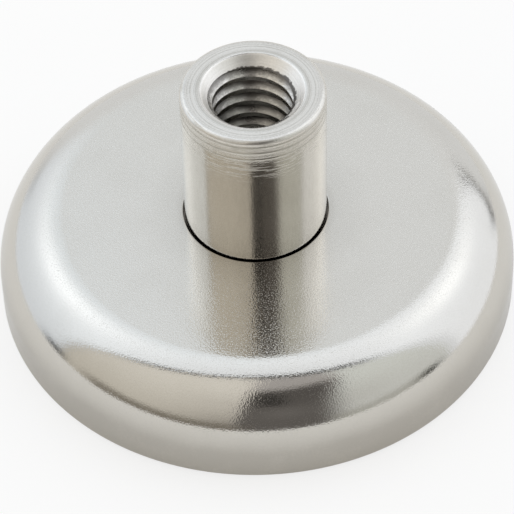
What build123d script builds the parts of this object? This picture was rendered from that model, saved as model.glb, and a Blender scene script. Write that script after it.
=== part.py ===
# Pot magnet with an internally threaded bush, in millimetres.
#
# A steel cup, open side down, holds a magnet disc that is potted in a ring of resin.
# A turned bush stands in a shallow seat in the cup's crown and is riveted through it.
# Its blind bore has the tapping size of an M4 thread, and the thread's form isn't cut.
# The origin is the centre of the contact plane, and +Z points out of the bush's mouth.

from build123d import *
import os
from math import radians, tan

# Cup, with a broad shoulder outside and a square-cornered cavity.
CUP_DIAMETER = 22.0
CUP_HEIGHT = 4.5
CUP_WALL = 1.5
CROWN_THICKNESS = 1.5
SHOULDER_RADIUS = 2.8  # outside, from the flat crown to the wall
LIP_OUTER_CHAMFER = 0.3
LIP_INNER_CHAMFER = 0.15

# Bush, turned from round bar.
BUSH_DIAMETER = 6.0
BUSH_RISE = 7.0  # from the crown to the bush's end face
BUSH_EDGE_RADIUS = 0.15
BUSH_FOOT_CHAMFER = 0.08
SEAT_DEPTH = 0.3
SEAT_CLEARANCE = 0.08  # radial, the open seam round the bush's foot

# Tang of the bush, which is riveted into a countersink under the crown.
TANG_DIAMETER = 4.0
TANG_CLEARANCE = 0.02  # radial
RIVET_FLARE = 0.6  # radial, from the tang out to the edge of its riveted head
RIVET_ANGLE = 90.0
RIVET_SINK = 0.05  # from the roof of the cavity up to the rivet's end

# Bore of the bush.
TAPPING_DIAMETER = 3.3
MOUTH_DIAMETER = 4.3
MOUTH_ANGLE = 90.0
DRILL_POINT_ANGLE = 118.0
BORE_END_WALL = 1.25  # metal left between the drill's point and the rivet's end

# Magnet disc, with its edges broken.
MAGNET_GAP = 1.5  # radial, from the disc to the wall
MAGNET_RECESS = 0.2  # from the contact plane up to the disc
MAGNET_CHAMFER = 0.2

# Potting resin between the disc and the wall.
RESIN_RECESS = 0.5  # from the contact plane up to the resin, where it wets the walls
RESIN_DIP = 0.12  # further rise of the resin's face half-way between the walls


def cone_height(radius_change, full_angle):
    """Height over which a cone of the given full angle changes its radius by that much."""
    return radius_change / tan(radians(full_angle / 2))


# Heights and radii that follow from the sizes above.
crown = CUP_HEIGHT
roof = crown - CROWN_THICKNESS
seat = crown - SEAT_DEPTH
bush_top = crown + BUSH_RISE
rivet_end = roof + RIVET_SINK
sink_top = roof + cone_height(RIVET_FLARE, RIVET_ANGLE)  # of the countersink and of the head in it
cup_radius = CUP_DIAMETER / 2
cavity_radius = cup_radius - CUP_WALL
bush_radius = BUSH_DIAMETER / 2
tang_radius = TANG_DIAMETER / 2
bore_radius = TAPPING_DIAMETER / 2
mouth_radius = MOUTH_DIAMETER / 2
magnet_radius = cavity_radius - MAGNET_GAP


def turned(*corners):
    """Solid turned about the Z axis from a closed section.

    Each corner is (radius, height) where it is sharp, or (radius, height, rounding).
    """
    section = FilletPolyline(
        [corner[:2] for corner in corners],
        radius=[corner[2] if len(corner) == 3 else 0 for corner in corners],
        close=True,
    )
    return revolve(Plane.XZ * make_face(section), Axis.Z)


def steel_cup():
    """Cup with a seat for the bush, a hole for its tang and the rivet's countersink."""
    seat_radius = bush_radius + SEAT_CLEARANCE
    hole_radius = tang_radius + TANG_CLEARANCE
    return turned(
        (seat_radius, crown),
        (cup_radius, crown, SHOULDER_RADIUS),
        (cup_radius, LIP_OUTER_CHAMFER),
        (cup_radius - LIP_OUTER_CHAMFER, 0),
        (cavity_radius + LIP_INNER_CHAMFER, 0),
        (cavity_radius, LIP_INNER_CHAMFER),
        (cavity_radius, roof),
        (hole_radius + RIVET_FLARE, roof),
        (hole_radius, sink_top),
        (hole_radius, seat),
        (seat_radius, seat),
    )


def threaded_bush():
    """Turned bush with a riveted tang and a countersunk blind bore of tapping size."""
    head_radius = tang_radius + RIVET_FLARE - RIVET_SINK * tan(radians(RIVET_ANGLE / 2))
    drill_point = rivet_end + BORE_END_WALL
    edge_radius = min(BUSH_EDGE_RADIUS, (bush_radius - mouth_radius) / 2)
    return turned(
        (0, rivet_end),
        (head_radius, rivet_end),
        (tang_radius, sink_top),
        (tang_radius, seat),
        (bush_radius - BUSH_FOOT_CHAMFER, seat),
        (bush_radius, seat + BUSH_FOOT_CHAMFER),
        (bush_radius, bush_top, edge_radius),
        (mouth_radius, bush_top),
        (bore_radius, bush_top - cone_height(mouth_radius - bore_radius, MOUTH_ANGLE)),
        (bore_radius, drill_point + cone_height(bore_radius, DRILL_POINT_ANGLE)),
        (0, drill_point),
    )


def magnet_disc():
    """Disc magnet seated against the roof of the cavity."""
    return turned(
        (0, MAGNET_RECESS),
        (magnet_radius - MAGNET_CHAMFER, MAGNET_RECESS),
        (magnet_radius, MAGNET_RECESS + MAGNET_CHAMFER),
        (magnet_radius, roof - MAGNET_CHAMFER),
        (magnet_radius - MAGNET_CHAMFER, roof),
        (0, roof),
    )


def resin_ring():
    """Potting resin that fills the gap round the magnet, with a hollow face between the walls."""
    walls = Polyline(
        (magnet_radius, RESIN_RECESS),
        (magnet_radius, roof - MAGNET_CHAMFER),
        (magnet_radius - MAGNET_CHAMFER, roof),
        (cavity_radius, roof),
        (cavity_radius, RESIN_RECESS),
    )
    face_middle = ((magnet_radius + cavity_radius) / 2, RESIN_RECESS + RESIN_DIP)
    wet_face = ThreePointArc(walls @ 1, face_middle, walls @ 0)
    return revolve(Plane.XZ * make_face([walls, wet_face]), Axis.Z)


parts = {
    "steel_cup": steel_cup(),
    "threaded_bush": threaded_bush(),
    "magnet_disc": magnet_disc(),
    "resin_ring": resin_ring(),
}

os.makedirs("parts", exist_ok=True)
for name, part in parts.items():
    part.label = name
    export_step(part, f"parts/{name}.step")
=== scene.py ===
import logging
from dataclasses import dataclass
from enum import Enum
from math import cos, pi, radians, sin, tan
from typing import Optional, Sequence, Union

import bmesh
import bpy
from mathutils import Matrix, Vector


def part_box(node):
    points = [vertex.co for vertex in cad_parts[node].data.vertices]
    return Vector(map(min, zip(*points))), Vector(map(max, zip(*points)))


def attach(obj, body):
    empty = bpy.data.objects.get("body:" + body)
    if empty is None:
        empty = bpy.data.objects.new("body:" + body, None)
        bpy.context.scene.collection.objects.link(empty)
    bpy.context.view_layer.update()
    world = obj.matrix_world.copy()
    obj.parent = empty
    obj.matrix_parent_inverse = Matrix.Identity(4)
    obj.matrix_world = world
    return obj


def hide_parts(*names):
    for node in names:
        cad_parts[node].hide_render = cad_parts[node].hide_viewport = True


# A pot magnet of four turned pieces, each in place of its CAD node, in a white light tent.

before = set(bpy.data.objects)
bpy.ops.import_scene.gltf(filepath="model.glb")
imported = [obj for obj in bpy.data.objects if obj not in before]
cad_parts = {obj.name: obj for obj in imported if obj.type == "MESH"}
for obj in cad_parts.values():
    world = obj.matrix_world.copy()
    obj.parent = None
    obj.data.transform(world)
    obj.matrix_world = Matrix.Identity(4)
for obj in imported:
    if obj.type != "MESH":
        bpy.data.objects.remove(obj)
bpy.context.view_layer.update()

MM = 0.001  # sizes below are in millimetres, and the scene is in metres
DEGREES = 180 / pi  # in a radian
WELD = 1e-5  # points of a mesh nearer to each other than this become one
OTHER_LINES = 1.0  # moves a pattern of lines along, so that it differs from the first one
log = logging.getLogger("pot_magnet")

Colour = tuple[float, float, float]
Limits = tuple[float, float]  # where a smooth step starts from 0 and where it reaches 1
Socket = Union["Wire", float, Colour, Vector, str]


def node_size(node: str) -> tuple[float, float, float]:
    """Size of a turned CAD node.

    Args:
        node: The node's name.

    Returns:
        Its radius and its lowest and highest heights, in millimetres.
    """
    low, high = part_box(node)
    radius = max(-low[0], -low[1], high[0], high[1])
    return round(radius / MM, 3), round(low[2] / MM, 3), round(high[2] / MM, 3)


CUP_RADIUS, _, CROWN = node_size("steel_cup")
BUSH_RADIUS, RIVET_END, BUSH_END = node_size("threaded_bush")
MAGNET_RADIUS, MAGNET_FACE, ROOF = node_size("magnet_disc")
CAVITY_RADIUS, RESIN_FACE, _ = node_size("resin_ring")
SEAT_DEPTH = 0.3
SEAT = CROWN - SEAT_DEPTH  # the bush's shoulder stands here in the crown
RIVET_FLARE = 0.6  # radial, of the countersink under the crown


# ---------------------------------------------------------------- shader graph


@dataclass(frozen=True)
class Wire:
    """An output socket of a node tree, on which Python's operators add Math nodes."""

    graph: "Graph"
    socket: bpy.types.NodeSocket

    def math(self, operation: str, *others: Socket) -> "Wire":
        """This number and others through one Math node."""
        return self.graph.math(operation, self, *others)

    def outputs(self, *names: str) -> tuple["Wire", ...]:
        """Wires from these outputs of the same node."""
        return tuple(Wire(self.graph, self.socket.node.outputs[name]) for name in names)

    def __add__(self, other: Socket) -> "Wire":
        """Sum."""
        return self.graph.math("ADD", self, other)

    def __radd__(self, other: Socket) -> "Wire":
        """Sum, with the number on the left."""
        return self.graph.math("ADD", other, self)

    def __sub__(self, other: Socket) -> "Wire":
        """Difference."""
        return self.graph.math("SUBTRACT", self, other)

    def __rsub__(self, other: Socket) -> "Wire":
        """Difference, with the number on the left."""
        return self.graph.math("SUBTRACT", other, self)

    def __mul__(self, other: Socket) -> "Wire":
        """Product."""
        return self.graph.math("MULTIPLY", self, other)

    def __rmul__(self, other: Socket) -> "Wire":
        """Product, with the number on the left."""
        return self.graph.math("MULTIPLY", other, self)

    def __truediv__(self, other: Socket) -> "Wire":
        """Quotient."""
        return self.graph.math("DIVIDE", self, other)

    def __rtruediv__(self, other: Socket) -> "Wire":
        """Quotient, with the number on the left."""
        return self.graph.math("DIVIDE", other, self)

    def __neg__(self) -> "Wire":
        """Negative."""
        return self.graph.math("MULTIPLY", self, -1.0)

    def over(self, low: float, high: float) -> "Wire":
        """Smooth step of this number.

        Args:
            low: Value at which the step is still 0.
            high: Value from which the step is 1.

        Returns:
            A number from 0 to 1.
        """
        return self.graph.node(
            "ShaderNodeMapRange",
            {"interpolation_type": "SMOOTHSTEP"},
            {"Value": self, "From Min": low, "From Max": high, "To Min": 0.0, "To Max": 1.0},
        )

    def past(self, low: float, high: float) -> "Wire":
        """Smooth step of this length between two others in millimetres."""
        return self.over(low * MM, high * MM)

    def within(self, low: float, high: float, soft: float) -> "Wire":
        """1 between two limits and 0 outside, where each limit fades over twice soft."""
        return self.over(low - soft, low + soft) * (1 - self.over(high - soft, high + soft))

    def bell(self, centre: float, spread: float) -> "Wire":
        """Bell curve of this number, 1 at its centre and exp(-1) one spread away."""
        offset = (self - centre) / spread
        return self.graph.math("EXPONENT", -(offset * offset))


@dataclass
class Graph:
    """A node tree that is built from Python."""

    tree: bpy.types.NodeTree

    def node(
        self,
        kind: str,
        settings: dict[str, object],
        sockets: dict[Union[str, int], Socket],
        output: Union[str, int] = 0,
    ) -> Optional[Wire]:
        """Adds a node.

        Args:
            kind: The node's type, such as ShaderNodeMath.
            settings: The node's own properties, which are set before its sockets.
            sockets: Values or wires for its inputs, by name or place.
            output: The output that is wanted, by name or place.

        Returns:
            The wire from that output, or None from a node that has no outputs.
        """
        made = self.tree.nodes.new(kind)
        for name, value in settings.items():
            setattr(made, name, value)
        for name, value in sockets.items():
            if isinstance(value, Wire):
                self.tree.links.new(value.socket, made.inputs[name])
            elif isinstance(value, tuple) and made.inputs[name].type == "RGBA":
                made.inputs[name].default_value = (*value, 1.0)
            else:
                made.inputs[name].default_value = value
        return Wire(self, made.outputs[output]) if len(made.outputs) else None

    def math(self, operation: str, *numbers: Socket) -> Wire:
        """One Math node on these numbers."""
        return self.node("ShaderNodeMath", {"operation": operation}, dict(enumerate(numbers)))

    def combine(self, x: Socket, y: Socket, z: Socket) -> Wire:
        """A vector from three numbers."""
        return self.node("ShaderNodeCombineXYZ", {}, {"X": x, "Y": y, "Z": z})

    def parts(self, vector: Wire) -> tuple[Wire, ...]:
        """The three numbers of a vector."""
        return self.node("ShaderNodeSeparateXYZ", {}, {"Vector": vector}).outputs("X", "Y", "Z")

    def place(self) -> Wire:
        """The position on the piece, in metres."""
        return self.node("ShaderNodeTexCoord", {}, {}, "Object")

    def rays(self, *kinds: str) -> tuple[Wire, ...]:
        """What Light Path says of the ray that asks."""
        return self.node("ShaderNodeLightPath", {}, {}).outputs(*kinds)

    def from_axis(self, x: Wire, y: Wire) -> Wire:
        """Distance from the Z axis."""
        return self.math("SQRT", x * x + y * y)

    def mix(self, share: Socket, base: Socket, over: Socket) -> Wire:
        """A colour between two others, the second where share is 1."""
        # Colours are at these places among the node's sockets.
        return self.node("ShaderNodeMix", {"data_type": "RGBA"}, {0: share, 6: base, 7: over}, 2)

    def noise(self, place: Wire, size: float, detail: float = 2.0, roughness: float = 0.5) -> Wire:
        """Noise about 0.5.

        Args:
            place: The position, in metres.
            size: Typical size of its features, in millimetres.
            detail: Number of its finer octaves.
            roughness: Weight of each finer octave.

        Returns:
            A number from about 0 to 1.
        """
        sockets = {"Vector": place, "Scale": 1 / (size * MM), "Detail": detail, "Roughness": roughness}
        return self.node("ShaderNodeTexNoise", {}, sockets)

    def rings(self, along: Wire, size: float, detail: float = 2.0, roughness: float = 0.6) -> Wire:
        """Uneven parallel lines along one number, for the marks of a turning tool.

        Args:
            along: Radius or height, in metres.
            size: Typical distance between lines, in millimetres.
            detail: Number of finer octaves.
            roughness: Weight of each finer octave.

        Returns:
            A number from about 0 to 1.
        """
        sockets = {"W": along, "Scale": 1 / (size * MM), "Detail": detail, "Roughness": roughness}
        return self.node("ShaderNodeTexNoise", {"noise_dimensions": "1D"}, sockets)

    def bump(self, height: Wire, depth: float, normal: Optional[Wire] = None) -> Wire:
        """Tilts the surface by a height.

        Args:
            height: A number from 0 to 1.
            depth: What a height of 1 stands for, in millimetres.
            normal: A normal that is tilted already.

        Returns:
            The new normal.
        """
        sockets: dict[Union[str, int], Socket] = {"Height": height, "Strength": 1.0, "Distance": depth * MM}
        if normal is not None:
            sockets["Normal"] = normal
        return self.node("ShaderNodeBump", {}, sockets)


def new_material(name: str) -> tuple[bpy.types.Material, Graph]:
    """Makes an empty material.

    Args:
        name: The material's name.

    Returns:
        The material and the graph of its nodes.
    """
    material = bpy.data.materials.new(name)
    material.use_nodes = True
    material.node_tree.nodes.clear()
    return material, Graph(material.node_tree)


# -------------------------------------------------------------------- finishes


@dataclass(frozen=True)
class Wear:
    """What varies over a plated surface: wires, or numbers where it is the same all over."""

    marks: Optional[Wire] = None  # the normal with the tool's marks under the plating
    roughness: Socket = 0.0  # is added to the plating's roughness
    stain_and_shade: Socket = 0.0  # is added to the share of the stain's colour, which in the bore also paints shade towards its depth
    darkened: Socket = 0.0  # share of a darker colour, from 0 to 1, for painted shade and a dark ring round the bore
    peel: Socket = 1.0  # what the peel's height is multiplied by
    seam_shade: Socket = 0.0  # share of the colour of painted shade in the seam round the bush, from 0 to 1


@dataclass(frozen=True)
class Plating:
    """Bright nickel plating with an orange peel that scatters what it mirrors.

    Sizes are in millimetres.
    """

    name: str
    tint: Colour = (0.650, 0.622, 0.572)
    # the colours below: a stain, which in the bore also paints shade; a darker tone for painted shade and a
    # dark ring round the bore; and painted shade in the seam round the bush
    stain_and_shade_tone: Colour = (0.604, 0.576, 0.524)
    dark_tone: Colour = (0.510, 0.484, 0.440)
    seam_shade_tone: Colour = (0.10, 0.088, 0.076)
    roughness: float = 0.085
    roughness_spread: float = 0.02
    peel_size: float = 0.066
    peel_depth: float = 0.0023
    cloud_size: float = 2.4
    cloud_limits: Limits = (0.42, 0.72)
    cloud_share: float = 0.35
    grain_size: float = 0.06
    grain_limits: Limits = (0.25, 0.75)
    grain_share: float = 0.4

    def wear(self, graph: Graph) -> Wear:
        """What varies over the surface, which is nothing here."""
        return Wear()

    def material(self) -> bpy.types.Material:
        """Makes the material.

        Returns:
            The plating, with the wear of its surface.
        """
        made, graph = new_material(self.name)
        wear = self.wear(graph)
        place = graph.place()
        cloud = graph.noise(place, self.cloud_size, detail=3.0, roughness=0.55)
        grain = graph.noise(place, self.grain_size, detail=0.0)
        clouded = cloud.over(*self.cloud_limits) * self.cloud_share
        grained = grain.over(*self.grain_limits) * self.grain_share
        colour = graph.mix(clouded + grained + wear.stain_and_shade, self.tint, self.stain_and_shade_tone)
        # painted shade and the dark ring round the bore, then painted shade in the seam round the bush
        colour = graph.mix(wear.darkened, colour, self.dark_tone)
        colour = graph.mix(wear.seam_shade, colour, self.seam_shade_tone)
        height = graph.noise(place, self.peel_size, detail=0.0) * wear.peel
        shader = graph.node(
            "ShaderNodeBsdfPrincipled",
            {},
            {
                "Base Color": colour,
                "Metallic": 1.0,
                "Roughness": self.roughness + (cloud + grain - 1.0) * self.roughness_spread + wear.roughness,
                "Normal": graph.bump(height, self.peel_depth, wear.marks),
            },
        )
        graph.node("ShaderNodeOutputMaterial", {}, {"Surface": shader})
        return made


@dataclass(frozen=True)
class PressedPlating(Plating):
    """Plating on the pressed cup: pitted on the crown, with painted shade towards the lip, round the bush and
    in the bush's seat.
    """

    name: str = "cup_plating"
    # painted shade darkens the wall towards the lip, fully below the first height and not above the second,
    # for the shaded floor that it mirrors
    shaded_below: float = 1.4
    unshaded_above: float = 3.2
    least_lip_shade: float = 0.33  # least painted shade at the lip, where patches and flecks are added to it
    patch_size: float = 1.5
    patch_share: float = 0.9
    fleck_size: float = 0.1
    fleck_share: float = 0.45
    crown_edge: float = 0.3
    crown_peel: float = 1.25  # the crown's peel over the wall's
    pit_size: float = 0.05
    pit_limits: Limits = (0.45, 0.80)
    pit_roughness: float = 0.36
    pits_on_wall: float = 0.3  # share of the crown's pits that the wall has
    # painted shade fills the bush's seat inside this radius, and fades out over the edge
    seam_radius: float = 3.088
    seam_edge: float = 0.01
    corner_starts: float = 3.1  # painted shade in the corner round the bush, from this radius
    corner_ends: tuple[float, float] = (3.5, 5.2)  # to these, in a narrow and a wide part
    corner_shade: float = 0.4

    def wear(self, graph: Graph) -> Wear:
        """Works out what varies over the cup.

        Args:
            graph: The material's graph.

        Returns:
            The pits, the coarser peel of the crown, and painted shade towards the lip, round the bush and in
            the bush's seat.
        """
        place = graph.place()
        x, y, height = graph.parts(place)
        radius = graph.from_axis(x, y)
        patches = graph.noise(place, self.patch_size, detail=3.0) * self.patch_share
        flecks = graph.noise(place, self.fleck_size, detail=1.0) * self.fleck_share
        low = 1 - height.past(self.shaded_below, self.unshaded_above)
        narrow, wide = (1 - radius.past(self.corner_starts, end) for end in self.corner_ends)
        on_crown = height.past(CROWN - self.crown_edge, CROWN)
        pitted = self.pits_on_wall + on_crown * (1 - self.pits_on_wall)
        pits = graph.noise(place, self.pit_size, detail=0.0).over(*self.pit_limits) * pitted
        return Wear(
            roughness=pits * self.pit_roughness,
            darkened=low * (self.least_lip_shade + patches + flecks) + (narrow + wide) * self.corner_shade,
            peel=1 + on_crown * (self.crown_peel - 1),
            seam_shade=1 - radius.past(self.seam_radius - self.seam_edge, self.seam_radius),
        )


@dataclass(frozen=True)
class CutPlating(Plating):
    """Plating over metal that a tool has left its marks on."""

    mark_size: float = 0.05
    mark_depth: float = 0.008


@dataclass(frozen=True)
class FacedPlating(CutPlating):
    """Plating on the bush's end, which a facing tool has left full of rings."""

    name: str = "bush_plating_faced"
    tint: Colour = (0.690, 0.662, 0.615)
    stain_and_shade_tone: Colour = (0.53, 0.505, 0.46)
    roughness: float = 0.12
    mark_size: float = 0.06
    fine_share: float = 0.6
    broad_share: float = 0.4
    broadness: float = 5.0  # how much wider apart the broad rings are
    ring_stain: float = 5.0
    ring_roughness: float = 0.12

    def wear(self, graph: Graph) -> Wear:
        """Works out the rings.

        Args:
            graph: The material's graph.

        Returns:
            The rings as relief, stain and roughness.
        """
        x, y, _ = graph.parts(graph.place())
        radius = graph.from_axis(x, y)
        fine = graph.rings(radius, self.mark_size, detail=3.0) * self.fine_share
        broad = graph.rings(radius, self.broadness * self.mark_size, detail=1.0) * self.broad_share
        lines = fine + broad
        return Wear(
            marks=graph.bump(lines, self.mark_depth),
            roughness=graph.rings(radius + OTHER_LINES, 2 * self.mark_size) * self.ring_roughness,
            stain_and_shade=(lines - 0.5) * self.ring_stain,
        )


@dataclass(frozen=True)
class TurnedPlating(CutPlating):
    """Plating on the bush's side: bright at the foot, scratched higher up and grooved under the end, with
    painted shade in the grooves.
    """

    name: str = "bush_plating_turned"
    tint: Colour = (0.700, 0.666, 0.606)
    stain_and_shade_tone: Colour = (0.620, 0.588, 0.530)
    dark_tone: Colour = (0.42, 0.40, 0.34)
    groove_heights: tuple[float, float, float] = (11.19, 10.87, 10.52)
    groove_width: float = 0.05
    # painted shade in the grooves
    groove_shade: float = 0.6
    lined: Limits = (10.1, 10.9)  # heights between which the tool's lines set in
    line_share: float = 0.6
    lines_at_foot: float = 0.10
    line_roughness: float = 0.3
    rough_line_size: float = 0.08
    end_roughness: float = 0.05
    scratched: Limits = (8.6, 10.4)  # heights between which the scratches set in
    scratch_size: float = 0.075
    scratch_shortness: float = 0.055  # their height over their length
    scratch_limits: Limits = (0.52, 0.60)
    scratch_share: float = 0.3
    streak_size: float = 0.12
    streak_shortness: float = 0.2
    streak_stain: float = 1.5
    seam_shade_below: Limits = (0.08, 0.04)  # depths under the crown between which painted shade sets in, inside the cup's seat

    def wear(self, graph: Graph) -> Wear:
        """Works out the lines, grooves, scratches and streaks.

        Args:
            graph: The material's graph.

        Returns:
            Those marks, painted shade in the grooves, and painted shade at the bush's foot inside the cup's
            seat.
        """
        x, y, z = graph.parts(graph.place())
        near_end = z.past(*self.lined)
        first, *others = (z.bell(height * MM, self.groove_width * MM) for height in self.groove_heights)
        grooves = sum(others, first)
        around = graph.combine(x * self.scratch_shortness, y * self.scratch_shortness, z)
        scratches = graph.noise(around, self.scratch_size).over(*self.scratch_limits)
        scratches = scratches * z.past(*self.scratched)
        lines = graph.rings(z, self.mark_size, detail=3.0) * self.line_share - grooves
        lines = lines * (self.lines_at_foot + (1 - self.lines_at_foot) * near_end)
        streaks = graph.noise(graph.combine(x, y, z * self.streak_shortness), self.streak_size)
        rough_lines = graph.rings(z + OTHER_LINES, self.rough_line_size, detail=3.0) * self.line_roughness
        deep, shallow = self.seam_shade_below
        return Wear(
            marks=graph.bump(lines + scratches * self.scratch_share, self.mark_depth),
            roughness=near_end * (self.end_roughness + rough_lines) + scratches * self.scratch_share,
            stain_and_shade=(streaks - 0.5) * self.streak_stain,
            darkened=grooves * self.groove_shade,
            seam_shade=1 - z.past(CROWN - deep, CROWN - shallow),
        )


@dataclass(frozen=True)
class CountersunkPlating(CutPlating):
    """Plating on the mouth's cone, which is pale and matt, with a dark ragged ring at its inner edge."""

    name: str = "bush_plating_countersunk"
    tint: Colour = (0.900, 0.860, 0.800)
    stain_and_shade_tone: Colour = (0.77, 0.735, 0.68)
    dark_tone: Colour = (0.10, 0.09, 0.08)
    roughness: float = 0.34
    ring_roughness: float = 0.2
    ragged_size: float = 0.16
    ragged_depth: float = 0.16
    # a darker ring round the bore, between these radii, with a ragged edge
    dark_ring_radii: Limits = (1.75, 1.79)
    dark_ring_share: float = 0.9

    def wear(self, graph: Graph) -> Wear:
        """Works out the rings and the dark ring at the inner edge.

        Args:
            graph: The material's graph.

        Returns:
            The rings as relief and roughness, and a darker ragged ring round the bore.
        """
        place = graph.place()
        x, y, z = graph.parts(place)
        ragged = graph.from_axis(x, y) + (graph.noise(place, self.ragged_size) - 0.5) * self.ragged_depth * MM
        return Wear(
            marks=graph.bump(graph.rings(z, self.mark_size), self.mark_depth),
            roughness=graph.rings(z + OTHER_LINES, 2 * self.mark_size) * self.ring_roughness,
            darkened=(1 - ragged.past(*self.dark_ring_radii)) * self.dark_ring_share,
        )


@dataclass(frozen=True)
class TappedPlating(CutPlating):
    """Plating in the bore, which is torn along the thread, with painted shade in its roots and towards its
    depth.
    """

    name: str = "bush_plating_tapped"
    tint: Colour = (0.760, 0.725, 0.670)
    # the stain's colour also paints shade towards the depth
    stain_and_shade_tone: Colour = (0.42, 0.40, 0.36)
    dark_tone: Colour = (0.19, 0.175, 0.16)
    roughness: float = 0.20
    patch_size: float = 0.5
    patch_roughness: float = 0.2
    mark_size: float = 0.07
    mark_depth: float = 0.014
    mark_shortness: float = 0.25
    mark_middle: float = 0.45
    mark_stain: float = 2.5
    least_stain: float = 0.1
    deep: Limits = (7.6, 10.8)  # heights between which the painted shade of the depth fades
    depth_shade: float = 0.6
    # painted shade in the thread's roots, between these radii
    root_radii: Limits = (1.67, 1.88)
    root_shade: float = 0.9
    root_wander: float = 0.08

    def wear(self, graph: Graph) -> Wear:
        """Works out the torn marks and the painted shade in the roots and the depth.

        Args:
            graph: The material's graph.

        Returns:
            The marks as relief and stain, and painted shade towards the depth and in the roots.
        """
        place = graph.place()
        x, y, z = graph.parts(place)
        along = graph.combine(x * self.mark_shortness, y * self.mark_shortness, z)
        lines = graph.noise(along, self.mark_size, detail=3.0, roughness=0.6)
        ragged = (lines - self.mark_middle) * self.mark_stain
        radius = graph.from_axis(x, y) + (lines - 0.5) * self.root_wander * MM
        return Wear(
            marks=graph.bump(lines, self.mark_depth),
            roughness=graph.noise(place, self.patch_size) * self.patch_roughness,
            stain_and_shade=self.least_stain + ragged + (1 - z.past(*self.deep)) * self.depth_shade,
            darkened=radius.past(*self.root_radii) * self.root_shade,
        )


class Cut(Enum):
    """How a surface of the bush was cut, with its plating."""

    FACED = FacedPlating()
    TURNED = TurnedPlating()
    COUNTERSUNK = CountersunkPlating()
    TAPPED = TappedPlating()


@dataclass(frozen=True)
class Resin:
    """Black potting resin, cast level and left as it set. Sizes are in millimetres."""

    name: str = "cast_resin"
    body: Colour = (0.018, 0.018, 0.020)
    dust: Colour = (0.055, 0.053, 0.050)
    dust_limits: Limits = (0.5, 0.8)
    roughness: float = 0.28
    roughness_spread: float = 0.25
    ripple_size: float = 1.6
    ripple_depth: float = 0.05
    grain_size: float = 0.12
    grain_share: float = 0.3
    pit_spacing: float = 1.1
    pit_limits: Limits = (0.05, 0.16)
    pit_depth: float = 0.02

    def material(self) -> bpy.types.Material:
        """Makes the material.

        Returns:
            The resin with its ripple, its pits and a little dust.
        """
        made, graph = new_material(self.name)
        place = graph.place()
        ripple = graph.noise(place, self.ripple_size)
        grain = graph.noise(place, self.grain_size, roughness=0.6)
        spacing = {"Vector": place, "Scale": 1 / (self.pit_spacing * MM)}
        outside_pits = graph.node("ShaderNodeTexVoronoi", {}, spacing, "Distance").over(*self.pit_limits)
        uneven = (ripple - 0.5) * self.roughness_spread + (1 - outside_pits) * self.roughness_spread
        relief = grain * self.grain_share + outside_pits
        shader = graph.node(
            "ShaderNodeBsdfPrincipled",
            {},
            {
                "Base Color": graph.mix(ripple.over(*self.dust_limits) * grain, self.body, self.dust),
                "Roughness": self.roughness + uneven,
                "IOR": 1.53,
                "Normal": graph.bump(relief, self.pit_depth, graph.bump(ripple, self.ripple_depth)),
            },
        )
        graph.node("ShaderNodeOutputMaterial", {}, {"Surface": shader})
        return made


Finish = Union[Plating, Resin]


# ---------------------------------------------------------------- turned forms


@dataclass(frozen=True)
class Corner:
    """A corner of a turned section, in millimetres: where it is and how it is rounded."""

    radius: float
    height: float
    rounding: float = 0.0
    segments: int = 3


def round_off(made: bmesh.types.BMesh, point: bmesh.types.BMVert, rounding: float, segments: int) -> None:
    """Rounds one point of a section.

    Args:
        made: The section.
        point: The point.
        rounding: How far along its edges the rounding starts.
        segments: Number of edges in the rounding.
    """
    bmesh.ops.bevel(
        made,
        geom=[point],
        offset=rounding,
        offset_type="OFFSET",
        segments=segments,
        profile=0.5,
        affect="VERTICES",
        clamp_overlap=False,
        material=-1,
    )


def spin(made: bmesh.types.BMesh, steps: int, turns: int = 1, rise: float = 0.0) -> None:
    """Spins a whole section about the Z axis.

    Args:
        made: The section.
        steps: Number of steps in a turn.
        turns: Number of turns.
        rise: Height of a helix's turn, or 0 for a round that closes on itself.
    """
    bmesh.ops.spin(
        made,
        geom=made.verts[:] + made.edges[:],
        cent=(0.0, 0.0, 0.0),
        axis=(0.0, 0.0, 1.0),
        dvec=(0.0, 0.0, rise / steps),
        angle=2 * pi * turns,
        steps=steps * turns,
        use_merge=not rise,
        use_duplicate=False,
    )


@dataclass(frozen=True)
class Lathe:
    """Turns sections about the Z axis."""

    steps: int = 192
    margin: float = 0.05
    long_run: float = 0.25

    def flatten(self, made: bmesh.types.BMesh) -> None:
        """Adds a point near each end of a long straight run, so that its shading stays straight.

        Args:
            made: The section.
        """
        for run in [edge for edge in made.edges if edge.calc_length() > self.long_run]:
            for from_start in (True, False):
                share = self.margin / run.calc_length()
                places = {run: share if from_start else 1 - share}
                parted = bmesh.ops.bisect_edges(made, edges=[run], cuts=1, edge_percents=places)
                pieces = [piece for piece in parted["geom_split"] if isinstance(piece, bmesh.types.BMEdge)]
                run = max(pieces, key=lambda piece: piece.calc_length())

    def turn(self, corners: Sequence[Corner], closed: bool) -> bmesh.types.BMesh:
        """Spins a section once round.

        Args:
            corners: The section's corners in order.
            closed: Whether its last corner joins its first. Otherwise both ends are on the axis.

        Returns:
            A closed mesh in millimetres, with its normals outwards.
        """
        made = bmesh.new()
        points = [made.verts.new((corner.radius, 0.0, corner.height)) for corner in corners]
        for start, end in zip(points, points[1:] + points[:1] if closed else points[1:]):
            made.edges.new((start, end))
        for point, corner in zip(points, corners):
            if corner.rounding:
                round_off(made, point, corner.rounding, corner.segments)
        self.flatten(made)
        spin(made, self.steps)
        bmesh.ops.remove_doubles(made, verts=made.verts[:], dist=WELD)
        bmesh.ops.recalc_face_normals(made, faces=made.faces[:])
        return made


def linked(made: bmesh.types.BMesh, name: str) -> bpy.types.Object:
    """Makes an object of a mesh and links it to the scene.

    Args:
        made: The mesh. It is freed.
        name: The name of the object and of its mesh.

    Returns:
        The object, at the origin.
    """
    mesh = bpy.data.meshes.new(name)
    made.to_mesh(mesh)
    made.free()
    thing = bpy.data.objects.new(name, mesh)
    bpy.context.scene.collection.objects.link(thing)
    return thing


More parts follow.
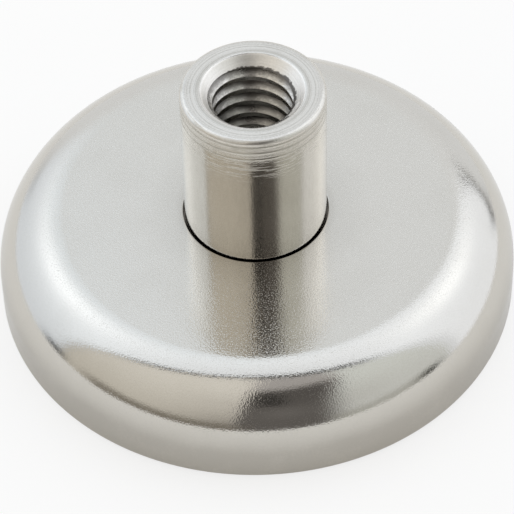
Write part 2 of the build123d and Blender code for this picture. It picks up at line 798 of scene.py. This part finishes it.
def without(body: bmesh.types.BMesh, *plugs: bmesh.types.BMesh) -> bmesh.types.BMesh:
    """Cuts closed plugs out of a closed body.

    Args:
        body: The mesh that is cut. It is freed.
        plugs: The meshes that are cut out of it, in order. They are freed.

    Returns:
        The cut body.
    """
    base = linked(body, "blank")
    tools = [linked(plug, f"plug_{number}") for number, plug in enumerate(plugs)]
    for tool in tools:
        cut = base.modifiers.new(tool.name, "BOOLEAN")
        cut.operation = "DIFFERENCE"
        cut.solver = "EXACT"
        cut.object = tool
    bpy.context.view_layer.update()
    shaped = bpy.data.meshes.new_from_object(base.evaluated_get(bpy.context.evaluated_depsgraph_get()))
    made = bmesh.new()
    made.from_mesh(shaped)
    for thing in (base, *tools):
        mesh = thing.data
        bpy.data.objects.remove(thing)
        bpy.data.meshes.remove(mesh)
    bpy.data.meshes.remove(shaped)
    bmesh.ops.remove_doubles(made, verts=made.verts[:], dist=WELD)
    return made


# ---------------------------------------------------------------------- pieces


@dataclass
class Piece:
    """One piece of the magnet, which stands for a CAD node. Sizes are in millimetres."""

    node: str
    slot: str
    finishes: tuple[Finish, ...]
    sharp_angle: float = 28.0  # edges that turn more than this, in degrees, are shaded sharp

    def shape(self) -> bmesh.types.BMesh:
        """The piece's mesh, whose faces have the numbers of their finishes."""
        raise NotImplementedError

    def build(self) -> bpy.types.Object:
        """Makes the piece and puts it on the root body in place of its CAD node.

        Returns:
            The object, at the origin, with its mesh in metres.
        """
        shape = self.shape()
        bmesh.ops.scale(shape, vec=(MM, MM, MM), verts=shape.verts[:])
        for face in shape.faces:
            face.smooth = True
        made = linked(shape, f"looks_{self.node}")
        made.data.set_sharp_from_angle(angle=radians(self.sharp_angle))
        for finish in self.finishes:
            made.data.materials.append(finish.material())
        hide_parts(self.node)
        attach(made, "root")
        names = ", ".join(material.name for material in made.data.materials)
        log.info("%s: %d faces, %s", made.name, len(made.data.polygons), names)
        return made


@dataclass
class Cup(Piece):
    """Pressed steel cup with a broad shoulder and a seat for the bush."""

    node: str = "steel_cup"
    slot: str = "cup_nickel"
    finishes: tuple[Finish, ...] = (PressedPlating(),)
    shoulder: float = 2.8
    shoulder_segments: int = 40
    seat_radius: float = 3.08
    seat_edge: float = 0.02
    hole_radius: float = 2.02
    lip_outer: float = 0.3
    lip_inner: float = 0.15
    wall_edge: float = 0.12
    foot_edge: float = 0.08
    cavity_edge: float = 0.05
    steps: int = 288

    def shape(self) -> bmesh.types.BMesh:
        """Turns the cup.

        Returns:
            Its section, from the seat's edge out over the shoulder, spun once round.
        """
        section = [
            Corner(self.seat_radius, CROWN, self.seat_edge, segments=2),
            Corner(CUP_RADIUS, CROWN, self.shoulder, self.shoulder_segments),
            Corner(CUP_RADIUS, self.lip_outer, self.wall_edge, segments=4),
            Corner(CUP_RADIUS - self.lip_outer, 0.0, self.foot_edge),
            Corner(CAVITY_RADIUS + self.lip_inner, 0.0, self.cavity_edge),
            Corner(CAVITY_RADIUS, self.lip_inner, self.cavity_edge),
            Corner(CAVITY_RADIUS, ROOF),
            Corner(self.hole_radius + RIVET_FLARE, ROOF),
            Corner(self.hole_radius, ROOF + RIVET_FLARE),
            Corner(self.hole_radius, SEAT),
            Corner(self.seat_radius, SEAT),
        ]
        return Lathe(self.steps).turn(section, closed=True)


@dataclass(frozen=True)
class TappedThread:
    """A right-handed internal thread, as the room that it leaves in the metal."""

    pitch: float = 0.7
    crest_radius: float = 1.65
    root_radius: float = 2.0
    root_flat: float = 0.0875
    flank_angle: float = 30.0
    crest_break: float = 0.02
    crest_depth: float = 1.06  # from the bush's end down to the lower edge of the first crest, at the back
    steps: int = 128
    weld: float = 1e-4
    end_weld: float = 1e-6

    def helix(self, bottom: float, top: float) -> bmesh.types.BMesh:
        """Sweeps the section of one pitch up a helix.

        Args:
            bottom: Height that the helix starts well below.
            top: Height that it reaches past.

        Returns:
            An open mesh in millimetres.
        """
        made = bmesh.new()
        flank = (self.root_radius - self.crest_radius) * tan(radians(self.flank_angle))
        crest_flat = self.pitch - self.root_flat - 2 * flank
        start = bottom - 2 * self.pitch
        heights = (0.0, crest_flat, crest_flat + flank, crest_flat + flank + self.root_flat, self.pitch)
        radii = (self.crest_radius, self.crest_radius, self.root_radius, self.root_radius, self.crest_radius)
        points = [made.verts.new((radius, 0.0, start + height)) for radius, height in zip(radii, heights)]
        for lower, upper in zip(points, points[1:]):
            made.edges.new((lower, upper))
        for point in points[1:4]:
            round_off(made, point, self.crest_break, segments=2)
        spin(made, self.steps, turns=int((top - start) / self.pitch) + 2, rise=self.pitch)
        bmesh.ops.remove_doubles(made, verts=made.verts[:], dist=self.weld)
        return made

    def turn_to_start(self, made: bmesh.types.BMesh, end: float) -> None:
        """Turns the helix so that a crest's lower edge is at its depth at the back, under the bush's end.

        Args:
            made: The helix, whose crest starts at a whole number of pitches on +X.
            end: Height of the bush's end.
        """
        lowest = min(vertex.co.z for vertex in made.verts)
        behind = (end - self.crest_depth - lowest) / self.pitch * 2 * pi
        back = pi / 2  # from +X
        turn = Matrix.Rotation(back - behind, 3, "Z")
        bmesh.ops.rotate(made, cent=(0.0, 0.0, 0.0), matrix=turn, verts=made.verts[:])

    def cut_off(self, made: bmesh.types.BMesh, bottom: float, top: float) -> None:
        """Cuts the helix off square at two heights and closes it.

        Args:
            made: The helix.
            bottom: Height of its lower end.
            top: Height of its upper end.
        """
        for height, above in ((bottom, False), (top, True)):
            bmesh.ops.bisect_plane(
                made,
                geom=made.verts[:] + made.edges[:] + made.faces[:],
                dist=self.end_weld,
                plane_co=(0.0, 0.0, height),
                plane_no=(0.0, 0.0, 1.0),
                clear_inner=not above,
                clear_outer=above,
            )
        ends = bmesh.ops.holes_fill(made, edges=[edge for edge in made.edges if edge.is_boundary], sides=0)
        bmesh.ops.triangulate(made, faces=ends["faces"])
        bmesh.ops.recalc_face_normals(made, faces=made.faces[:])

    def room(self, bottom: float, top: float, end: float) -> bmesh.types.BMesh:
        """Makes the thread's room between two heights.

        Args:
            bottom: Height of its lower end.
            top: Height of its upper end, within the mouth's cone.
            end: Height of the bush's end.

        Returns:
            A closed mesh in millimetres.
        """
        made = self.helix(bottom, end)
        self.turn_to_start(made, end)
        self.cut_off(made, bottom, top)
        return made


@dataclass
class Bush(Piece):
    """Turned bush with a blind tapped hole, riveted through the cup."""

    node: str = "threaded_bush"
    slot: str = "bush_nickel"
    finishes: tuple[Finish, ...] = tuple(cut.value for cut in Cut)
    end_edge: float = 0.20
    end_segments: int = 6
    foot_chamfer: float = 0.08
    foot_edge: float = 0.03
    tang_radius: float = 2.0
    rivet_radius: float = 2.55
    rivet_edge: float = 0.05
    mouth_radius: float = 2.15
    mouth_edge: float = 0.05
    pilot_radius: float = 1.5  # where the mouth's cone ends inside the thread's room
    drill_radius: float = 1.64
    drill_shoulder: float = 5.291
    drill_point: float = 4.3
    thread: TappedThread = TappedThread()
    thread_bottom: float = 6.0
    thread_margin: float = 0.1  # under the bush's end, inside the mouth
    overlap: float = 0.5  # of the drilled room with the thread's
    side_depth: float = 0.14  # faces this near to the bush's side are turned
    end_depth: float = 0.02  # faces this near to its end are faced
    cone_depth: float = 0.015  # and those this near to the mouth's cone are countersunk,
    cone_slope: float = 0.4  # if their normals point up by at least this
    root_margin: float = 0.02
    bore_steps: int = 128

    def blank(self) -> bmesh.types.BMesh:
        """Turns the bush with its mouth countersunk and nothing below it.

        Returns:
            A closed mesh.
        """
        cone_end = BUSH_END - (self.mouth_radius - self.pilot_radius)
        section = [
            Corner(0.0, RIVET_END),
            Corner(self.rivet_radius, RIVET_END, self.rivet_edge, segments=2),
            Corner(self.tang_radius, ROOF + RIVET_FLARE),
            Corner(self.tang_radius, SEAT),
            Corner(BUSH_RADIUS - self.foot_chamfer, SEAT),
            Corner(BUSH_RADIUS, SEAT + self.foot_chamfer, self.foot_edge, segments=2),
            Corner(BUSH_RADIUS, BUSH_END, self.end_edge, self.end_segments),
            Corner(self.mouth_radius, BUSH_END, self.mouth_edge, segments=4),
            Corner(self.pilot_radius, cone_end),
            Corner(0.0, cone_end),
        ]
        return Lathe().turn(section, closed=False)

    def drilled(self) -> bmesh.types.BMesh:
        """Turns the room of the tapping drill under the thread.

        Returns:
            A closed mesh.
        """
        section = [
            Corner(0.0, self.drill_point),
            Corner(self.drill_radius, self.drill_shoulder),
            Corner(self.drill_radius, self.thread_bottom + self.overlap),
            Corner(0.0, self.thread_bottom + self.overlap),
        ]
        return Lathe(self.bore_steps).turn(section, closed=False)

    def cut_of(self, face: bmesh.types.BMFace) -> Cut:
        """Says how a face was cut.

        Args:
            face: A face of the bush, in millimetres.

        Returns:
            The cut, by the face's place.
        """
        place = face.calc_center_median()
        radius = Vector((place.x, place.y)).length
        cone_radius = self.mouth_radius - (BUSH_END - place.z)
        if radius > BUSH_RADIUS - self.side_depth or place.z < SEAT + self.foot_chamfer:
            return Cut.TURNED
        if place.z > BUSH_END - self.end_depth:
            return Cut.FACED
        if abs(radius - cone_radius) < self.cone_depth and face.normal.z > self.cone_slope:
            return Cut.COUNTERSUNK
        return Cut.TAPPED if radius < self.thread.root_radius + self.root_margin else Cut.FACED

    def shape(self) -> bmesh.types.BMesh:
        """Turns, drills and taps the bush.

        Returns:
            Its mesh, in which each face has the number of its cut's plating.
        """
        room = self.thread.room(self.thread_bottom, BUSH_END - self.thread_margin, BUSH_END)
        made = without(self.blank(), room, self.drilled())
        numbers = {cut: number for number, cut in enumerate(Cut)}
        for face in made.faces:
            face.material_index = numbers[self.cut_of(face)]
        return made


@dataclass
class Magnet(Piece):
    """Plated disc magnet with its edges broken."""

    node: str = "magnet_disc"
    slot: str = "magnet_nickel"
    finishes: tuple[Finish, ...] = (Plating("magnet_plating", peel_depth=0.001, roughness=0.16),)
    edge: float = 0.2
    edge_segments: int = 6

    def shape(self) -> bmesh.types.BMesh:
        """Turns the disc.

        Returns:
            A closed mesh.
        """
        section = [
            Corner(0.0, MAGNET_FACE),
            Corner(MAGNET_RADIUS, MAGNET_FACE, self.edge, self.edge_segments),
            Corner(MAGNET_RADIUS, ROOF, self.edge, self.edge_segments),
            Corner(0.0, ROOF),
        ]
        return Lathe().turn(section, closed=False)


@dataclass
class Potting(Piece):
    """Ring of resin that fills the gap round the magnet, with a hollow face."""

    node: str = "resin_ring"
    slot: str = "potting_resin"
    finishes: tuple[Finish, ...] = (Resin(),)
    dip: float = 0.12
    width_rounded: float = 0.98
    magnet_edge: float = 0.2
    segments: int = 12

    def shape(self) -> bmesh.types.BMesh:
        """Turns the ring, whose wetted edges are lower than its middle.

        Returns:
            A closed mesh.
        """
        middle = (MAGNET_RADIUS + CAVITY_RADIUS) / 2
        rounding = (CAVITY_RADIUS - MAGNET_RADIUS) / 2 * self.width_rounded
        section = [
            Corner(MAGNET_RADIUS, RESIN_FACE),
            Corner(middle, RESIN_FACE + 2 * self.dip, rounding, self.segments),
            Corner(CAVITY_RADIUS, RESIN_FACE),
            Corner(CAVITY_RADIUS, ROOF),
            Corner(MAGNET_RADIUS - self.magnet_edge, ROOF),
            Corner(MAGNET_RADIUS, ROOF - self.magnet_edge),
        ]
        return Lathe().turn(section, closed=True)


# ---------------------------------------------------------------------- studio


@dataclass(frozen=True)
class Sky:
    """Where a ray of the world goes: its direction, and its azimuth and elevation in degrees.

    Azimuth is 0 towards the camera's side and positive to the right, and elevation is 0 on the
    horizon.
    """

    graph: Graph
    x: Wire
    y: Wire
    z: Wire
    azimuth: Wire
    elevation: Wire

    @classmethod
    def of(cls, graph: Graph) -> "Sky":
        """Makes the sky of a world.

        Args:
            graph: The world's graph.

        Returns:
            The direction of its rays.
        """
        x, y, z = graph.parts(graph.node("ShaderNodeTexCoord", {}, {}, "Generated"))
        azimuth = graph.math("ARCTAN2", x, -y) * DEGREES
        elevation = graph.math("ARCSINE", z) * DEGREES
        return cls(graph, x, y, z, azimuth, elevation)


@dataclass(frozen=True)
class Panel:
    """Something of one colour that stands round the magnet, before what comes earlier in the list.

    The colour is at its foot, and a second one, if it has one, at an elevation of head_at.
    """

    name: str
    colour: Colour
    head_colour: Optional[Colour] = None
    share: float = 1.0
    head_at: float = 75.0

    def mask(self, sky: Sky) -> Wire:
        """Where the panel is seen."""
        raise NotImplementedError

    def paint(self, sky: Sky) -> Socket:
        """Works out the panel's colour.

        Args:
            sky: Where the ray goes.

        Returns:
            The colour, shaded upwards where the panel has a second one.
        """
        if self.head_colour is None:
            return self.colour
        return sky.graph.mix(sky.elevation.over(0.0, self.head_at), self.colour, self.head_colour)

    def before(self, sky: Sky, behind: Socket) -> Wire:
        """The panel in front of what is behind it."""
        return sky.graph.mix(self.mask(sky) * self.share, behind, self.paint(sky))


@dataclass(frozen=True)
class Card(Panel):
    """An upright card between two azimuths and two elevations, in degrees.

    Its edges may lean to the right: left_lean and right_lean are how far, in degrees of azimuth,
    at an elevation of lean_at. The left one leans evenly, and the right one more and more.
    """

    left: float = -180.0
    right: float = 180.0
    bottom: float = -20.0
    top: float = 100.0
    soft: float = 2.0
    soft_right: Optional[float] = None
    soft_up: float = 2.0
    left_lean: float = 0.0
    right_lean: float = 0.0
    lean_at: float = 66.0
    left_power: float = 1.0
    right_power: float = 3.0

    def leaning(self, sky: Sky, lean: float, power: float) -> Wire:
        """Works out the azimuth that an edge has at its foot.

        Args:
            sky: Where the ray goes.
            lean: How far the edge leans, in degrees.
            power: How fast its lean grows with its height.

        Returns:
            The ray's azimuth, less the lean at its elevation.
        """
        if not lean:
            return sky.azimuth
        rise = sky.elevation.math("MAXIMUM", 0.0) / self.lean_at
        return sky.azimuth - rise.math("POWER", power) * lean

    def mask(self, sky: Sky) -> Wire:
        """Works out where the card is seen.

        Args:
            sky: Where the ray goes.

        Returns:
            A number that is 1 on the card.
        """
        soft_right = self.soft if self.soft_right is None else self.soft_right
        from_left = self.leaning(sky, self.left_lean, self.left_power)
        from_right = self.leaning(sky, self.right_lean, self.right_power)
        left = from_left.over(self.left - self.soft, self.left + self.soft)
        right = 1 - from_right.over(self.right - soft_right, self.right + soft_right)
        return left * right * sky.elevation.within(self.bottom, self.top, self.soft_up)


@dataclass(frozen=True)
class Backdrop(Panel):
    """One side of the plain sheet behind the magnet, whose edge slopes in as it rises, in degrees."""

    side: int = 1
    edge: float = 131.0
    slope: float = 33.5
    top: float = 52.0
    soft: float = 3.0
    soft_up: float = 2.5

    def edge_distance(self, sky: Sky) -> Wire:
        """Degrees of azimuth behind the sheet's edge."""
        rise = sky.elevation.math("MAXIMUM", 0.0) / self.top
        return sky.azimuth * self.side - (rise * self.slope + self.edge)

    def mask(self, sky: Sky) -> Wire:
        """Where the sheet is seen."""
        below = 1 - sky.elevation.over(self.top - self.soft_up, self.top + self.soft_up)
        return self.edge_distance(sky).over(-self.soft, self.soft) * below


@dataclass(frozen=True, kw_only=True)
class Fold(Panel):
    """The shadow in the fold along a backdrop's edge, which fades as it rises, in degrees."""

    sheet: Backdrop
    width: float = 3.0
    foot: Limits = (-6.0, 3.0)
    fades: Limits = (24.0, 8.0)  # under the sheet's top

    def mask(self, sky: Sky) -> Wire:
        """Works out where the shadow is seen.

        Args:
            sky: Where the ray goes.

        Returns:
            A number that is 1 in the middle of the fold.
        """
        start, end = (self.sheet.top - below for below in self.fades)
        up = (1 - sky.elevation.over(start, end)) * sky.elevation.over(*self.foot)
        return self.sheet.edge_distance(sky).bell(0.0, self.width) * up


@dataclass(frozen=True)
class Spot(Panel):
    """A soft spot about an azimuth and an elevation, such as a lamp behind cloth, in degrees."""

    azimuth: float = 0.0
    elevation: float = 0.0
    spread: float = 5.0

    def mask(self, sky: Sky) -> Wire:
        """Works out where the spot is seen.

        Args:
            sky: Where the ray goes.

        Returns:
            A bell curve of the angle from its middle.
        """
        side, up = radians(self.azimuth), radians(self.elevation)
        middle = (sin(side) * cos(up), -cos(side) * cos(up), sin(up))
        across = sky.x * middle[0] + sky.y * middle[1] + sky.z * middle[2]
        angle = sky.graph.math("ARCCOSINE", across.math("MINIMUM", 1.0)) * DEGREES
        return angle.bell(0.0, self.spread)


@dataclass(frozen=True)
class Hem(Panel):
    """A dark hem that rises from the floor to overhead at one azimuth, in degrees."""

    azimuth: float = 0.0
    width: float = 1.3
    foot_share: float = 0.3
    full: Limits = (45.0, 75.0)  # elevations between which it gets its full share
    own_side: Limits = (-0.06, 0.0)  # fades it out on the magnet's other side

    def mask(self, sky: Sky) -> Wire:
        """Works out where the hem is seen.

        Args:
            sky: Where the ray goes.

        Returns:
            A number that is 1 in its middle, high up.
        """
        side = radians(self.azimuth)
        off = sky.x * cos(side) + sky.y * sin(side)
        front = (sky.x * sin(side) - sky.y * cos(side)).over(*self.own_side)
        strength = self.foot_share + sky.elevation.over(*self.full) * (1 - self.foot_share)
        return off.bell(0.0, radians(self.width)) * front * strength


@dataclass
class Studio:
    """White light tent with its front open to a room, on a pale floor.

    Angles are in degrees, and lengths in millimetres.
    """

    tent: Colour = (0.93, 1.0, 1.10)
    tent_head: Colour = (1.22, 1.31, 1.43)
    tent_head_at: float = 60.0
    sheet_colours: tuple[Colour, Colour] = ((0.855, 0.90, 0.96), (0.957, 1.01, 1.077))
    sheet_white: float = 0.35  # share of plain white in the sheet as metal shows it
    white: Colour = (1.0, 1.0, 1.0)
    ground: Colour = (0.80, 0.80, 0.80)
    horizon: Limits = (-6.0, 0.0)
    floor_colour: Colour = (0.97, 0.945, 0.905)
    floor_white: float = 0.78  # share of plain white in the floor as the camera sees it
    mirrored_white: float = 0.2  # and as metal shows it
    floor_fades: Limits = (35.0, 120.0)
    floor_radius: float = 400.0
    floor_sides: int = 96
    floor_drop: float = 0.02

    def sheets(self) -> tuple[Backdrop, Backdrop]:
        """The right and the left side of the sheet behind the magnet."""
        right = Backdrop("backdrop_right", *self.sheet_colours)
        return right, Backdrop("backdrop_left", *self.sheet_colours, side=-1, edge=143, soft=5)

    def cloths(self) -> tuple[Panel, ...]:
        """Lists the tent's own panels.

        Returns:
            Its cloths, the lamps behind them and the sheet at the back, from the back to the front.
        """
        right, left = self.sheets()
        return (
            Card("right_cloth", (1.16, 1.21, 1.30), (1.27, 1.34, 1.45), left=20, right=180, soft=20),
            Spot("roof_cloth", (1.035, 1.09, 1.175), elevation=90, spread=22, share=0.9),
            Spot("right_lamp", (1.60, 1.67, 1.77), azimuth=130, elevation=50, spread=12),
            Spot("left_lamp", (1.62, 1.72, 1.86), azimuth=-138, elevation=50, spread=14),
            right,
            left,
            Spot("sheet_left", (0.92, 1.02, 1.12), azimuth=-168, elevation=46, spread=14, share=0.6),
            Card(
                "sheet_rod", (0.55, 0.55, 0.54),
                left=160, right=181, bottom=51.2, top=53, soft=6, soft_up=0.6, share=0.5,
            ),
            Fold("backdrop_fold", (0.05, 0.05, 0.045), sheet=right, width=2.0, share=0.9),
        )

    def room(self) -> tuple[Panel, ...]:
        """Lists what is seen through the open front.

        Returns:
            The room, and the camera under its canopy before it.
        """
        return (
            Card("room_left", (0.71, 0.685, 0.625), (0.91, 0.89, 0.845), left=-84, right=5),
            Card("room_right", (0.76, 0.785, 0.785), (0.87, 0.915, 0.91), left=5, right=79),
            Spot("room_shade", (0.50, 0.49, 0.46), azimuth=38, elevation=28, spread=18, share=0.2),
            Spot("room_corner", (0.33, 0.31, 0.29), azimuth=-8, elevation=4, spread=24, share=0.75),
            Spot("room_inner", (0.66, 0.64, 0.60), azimuth=-14, elevation=42, spread=16, share=0.45),
            Card(
                "canopy", (0.50, 0.485, 0.485),
                left=-10.8, right=24, top=87, left_lean=5.5, right_lean=30, soft=3,
            ),
            Card(
                "camera", (0.152, 0.144, 0.139), (0.11, 0.103, 0.10),
                left=-10.5, right=29.5, top=66, left_lean=5.0, right_lean=19,
                soft=1.7, soft_right=9.0, soft_up=6.0,
            ),
            Card(
                "camera_hood", (0.03, 0.029, 0.028),
                left=-2, right=11, bottom=40, top=60, soft=3, soft_up=5, share=0.75,
            ),
            Spot("camera_glint", (0.235, 0.225, 0.22), azimuth=9, elevation=27, spread=10, share=0.45),
        )

    def fittings(self) -> tuple[Panel, ...]:
        """Lists what stands at the tent's edge.

        Returns:
            The table's two sides, the clamps on its edge and the hems of the open front.
        """
        return (
            Card(
                "table_left", (0.20, 0.18, 0.15),
                left=-70, right=-8, top=8, soft=8, soft_up=6, share=0.85,
            ),
            Card(
                "table_right", (0.42, 0.42, 0.38),
                left=28, right=70, top=7, soft=4, soft_up=5, share=0.6,
            ),
            Spot("clamp_left", (0.06, 0.06, 0.06), azimuth=-87, spread=6, share=0.9),
            Spot("clamp_right", (0.05, 0.05, 0.045), azimuth=68, elevation=1, spread=5),
            Spot("clamp_back", (0.10, 0.10, 0.10), azimuth=133, elevation=4, spread=5, share=0.6),
            Spot("clamp_far", (0.30, 0.30, 0.30), azimuth=-146, elevation=4, spread=7, share=0.35),
            Hem(
                "hem_left", (0.03, 0.03, 0.03),
                azimuth=-84, width=2.2, foot_share=0.28, full=(46, 76), share=0.85,
            ),
            Hem("hem_right", (0.03, 0.03, 0.03), azimuth=81.5, width=2.4, foot_share=0.2, full=(58, 75)),
        )

    def light(self) -> None:
        """Makes the world, which is plain white where the camera looks past the floor."""
        world = bpy.data.worlds.new("light_tent")
        bpy.context.scene.world = world
        world.use_nodes = True
        world.node_tree.nodes.clear()
        graph = Graph(world.node_tree)
        sky = Sky.of(graph)
        panels = (*self.cloths(), *self.room(), *self.fittings())
        colour = graph.mix(sky.elevation.over(0.0, self.tent_head_at), self.tent, self.tent_head)
        for panel in panels:
            colour = panel.before(sky, colour)
        colour = graph.mix(sky.elevation.over(*self.horizon), self.ground, colour)
        right, left = (sheet.mask(sky) for sheet in self.sheets())
        camera, glossy, through = graph.rays("Is Camera Ray", "Is Glossy Ray", "Is Transmission Ray")
        mirrored = glossy.math("MAXIMUM", through) * right.math("MAXIMUM", left) * self.sheet_white
        colour = graph.mix(camera.math("MAXIMUM", mirrored), colour, self.white)
        background = graph.node("ShaderNodeBackground", {}, {"Color": colour, "Strength": 1.0})
        graph.node("ShaderNodeOutputWorld", {}, {"Surface": background})
        log.info("light tent: %s", ", ".join(panel.name for panel in panels))

    def floor_paint(self) -> bpy.types.Material:
        """Makes the floor's material.

        Returns:
            A pale paint that fades out at a distance and isn't seen from below.
        """
        made, graph = new_material("floor_paint")
        camera, glossy, through, passed = graph.rays(
            "Is Camera Ray", "Is Glossy Ray", "Is Transmission Ray", "Transparent Depth"
        )
        paint = graph.node("ShaderNodeBsdfDiffuse", {}, {"Color": self.floor_colour})
        white = graph.node("ShaderNodeEmission", {}, {"Color": self.white, "Strength": 1.0})
        clear = graph.node("ShaderNodeBsdfTransparent", {}, {})
        mirrored = glossy.math("MAXIMUM", through) * self.mirrored_white
        watched = mirrored.math("MAXIMUM", camera * self.floor_white)
        seen = graph.node("ShaderNodeMixShader", {}, {0: watched, 1: paint, 2: white})
        x, y, _ = graph.parts(graph.place())
        far = graph.from_axis(x, y).past(*self.floor_fades)
        from_below = graph.node("ShaderNodeNewGeometry", {}, {}, "Backfacing")
        once_through = passed.math("GREATER_THAN", 0.5)
        hidden = from_below.math("MAXIMUM", once_through)
        seen = graph.node("ShaderNodeMixShader", {}, {0: far.math("MAXIMUM", hidden), 1: seen, 2: clear})
        graph.node("ShaderNodeOutputMaterial", {}, {"Surface": seen})
        return made

    def lay_floor(self) -> bpy.types.Object:
        """Lays the floor just under the magnet.

        Returns:
            The floor's disc, which is no part of the magnet.
        """
        made = bmesh.new()
        bmesh.ops.create_circle(made, cap_ends=True, segments=self.floor_sides, radius=self.floor_radius * MM)
        bmesh.ops.translate(made, vec=(0.0, 0.0, -self.floor_drop * MM), verts=made.verts[:])
        floor = linked(made, "floor")
        floor.data.materials.append(self.floor_paint())
        return floor


@dataclass(frozen=True)
class Viewpoint:
    """Where the camera stands, by how it sees the origin.

    Angles are in degrees, and lengths in millimetres.
    """

    elevation: float = 48.117
    roll: float = 1.479
    distance: float = 126.649
    aside: float = 0.0243
    above: float = 0.9220
    lens: float = 204.37
    sensor: float = 36.0
    nearest: float = 10.0
    farthest: float = 20000.0

    def place_camera(self) -> bpy.types.Object:
        """Makes the camera and gives it to the scene.

        Returns:
            The camera.
        """
        data = bpy.data.cameras.new("camera")
        data.sensor_width, data.lens = self.sensor, self.lens
        data.clip_start, data.clip_end = self.nearest * MM, self.farthest * MM
        camera = bpy.data.objects.new("camera", data)
        bpy.context.scene.collection.objects.link(camera)
        tilt = Matrix.Rotation(radians(90 - self.elevation), 3, "X")
        turn = tilt @ Matrix.Rotation(radians(-self.roll), 3, "Z")
        place = turn @ Vector((-self.aside, self.above, self.distance)) * MM
        camera.matrix_world = Matrix.Translation(place) @ turn.to_4x4()
        bpy.context.scene.camera = camera
        return camera


def main() -> None:
    """Builds the studio and the magnet."""
    logging.basicConfig(level=logging.INFO, format="%(name)s: %(message)s")
    bpy.context.scene.view_settings.view_transform = "Standard"
    Viewpoint().place_camera()
    studio = Studio()
    studio.light()
    studio.lay_floor()
    for piece in (Cup(), Bush(), Magnet(), Potting()):
        piece.build()


if __name__ == "__main__":
    main()
